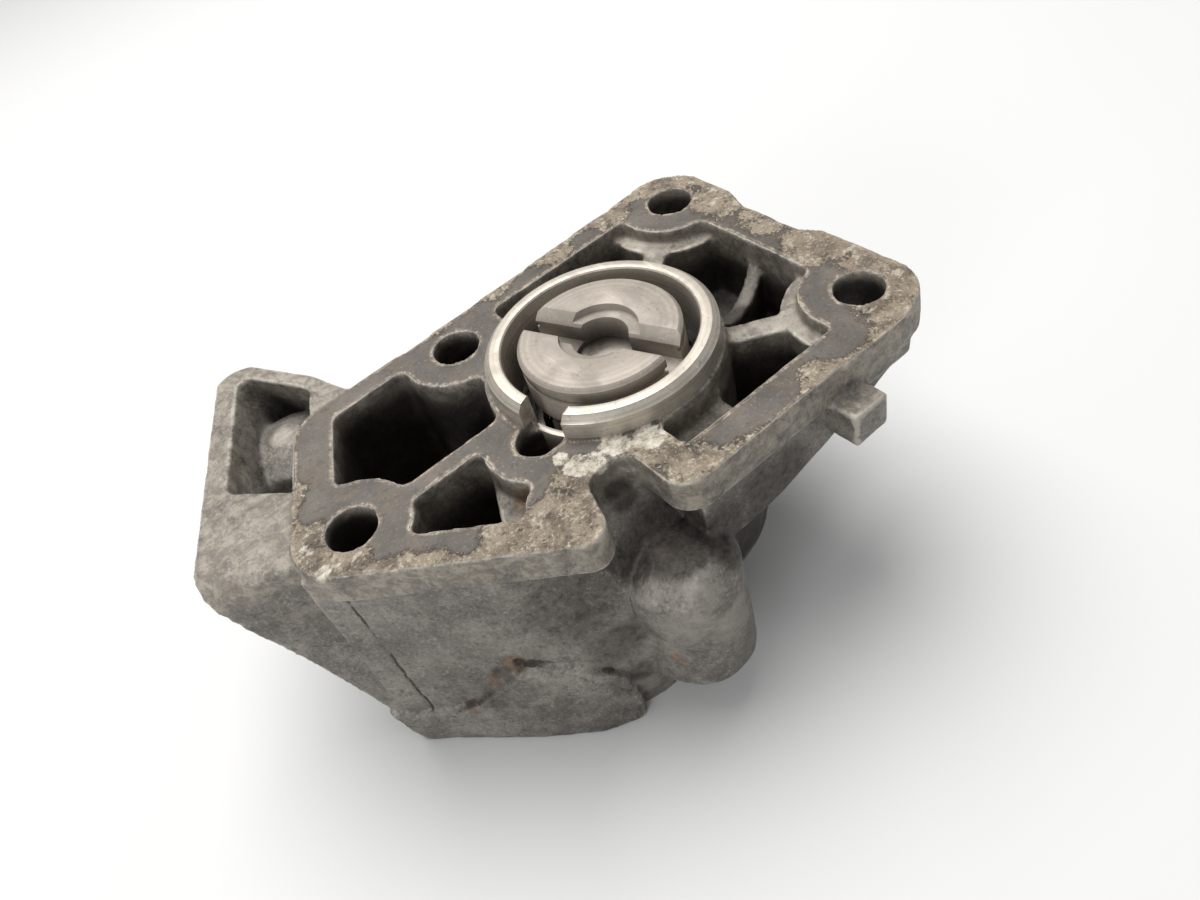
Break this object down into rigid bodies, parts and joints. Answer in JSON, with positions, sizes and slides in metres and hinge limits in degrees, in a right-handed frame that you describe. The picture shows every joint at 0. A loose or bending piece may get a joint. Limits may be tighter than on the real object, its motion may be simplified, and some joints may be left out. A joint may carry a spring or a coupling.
{
  "type": "distributor housing",
  "caption": "Cast aluminium distributor housing: bolt flange, machined spigot round a slotted drive coupling on a bearing-carried shaft, cavities, ribs, lug and slanted coolant outlet.",
  "frame": {"origin": "on the drive shaft's axis, in the plane of the machined flange face", "axes": "+Z out of the flange face towards the engine, +X from the slanted coolant outlet towards the two right bolts, +Y towards the edge with the middle bolt"},
  "size_m": [0.1269, 0.1033, 0.0608],
  "materials": {
    "cast_aluminium": "rough cast, weathered, with a machined face",
    "turned_steel": "turned",
    "spring_steel": "blackened",
    "bearing_steel": "ground",
    "ball_steel": "polished",
    "cage_steel": "pressed sheet",
    "seal_rubber": "matt"
  },
  "bodies": {
    "casting": {"housing": "cast_aluminium", "front_bearing_outer_race": "bearing_steel", "rear_bearing_outer_race": "bearing_steel", "bore_circlip": "spring_steel", "preload_washer": "spring_steel", "seal_case": "cage_steel", "seal_lip": "seal_rubber", "seal_spring": "spring_steel", "neck_o_ring": "seal_rubber", "screw_inserts": "cage_steel"},
    "shaft": {"drive_coupling": "turned_steel", "coupling_pin": "spring_steel", "drive_shaft": "turned_steel", "front_bearing_inner_race": "bearing_steel", "rear_bearing_inner_race": "bearing_steel", "bearing_spacer": "turned_steel", "shaft_circlip": "spring_steel"},
    "front_cage": {"front_bearing_balls": "ball_steel", "front_bearing_cage": "cage_steel"},
    "rear_cage": {"rear_bearing_balls": "ball_steel", "rear_bearing_cage": "cage_steel"}
  },
  "joints": [
    {"name": "shaft_spin", "type": "hinge", "parent": "casting", "child": "shaft", "pos_m": [0, 0, 0], "axis": [0, 0, 1], "continuous": true},
    {"name": "front_cage_spin", "type": "hinge", "parent": "casting", "child": "front_cage", "pos_m": [0, 0, 0], "axis": [0, 0, 1], "continuous": true},
    {"name": "rear_cage_spin", "type": "hinge", "parent": "casting", "child": "rear_cage", "pos_m": [0, 0, 0], "axis": [0, 0, 1], "continuous": true}
  ],
  "couplings": [
    {"joint": "front_cage_spin", "follows": "shaft_spin", "ratio": 0.381},
    {"joint": "rear_cage_spin", "follows": "shaft_spin", "ratio": 0.381}
  ]
}
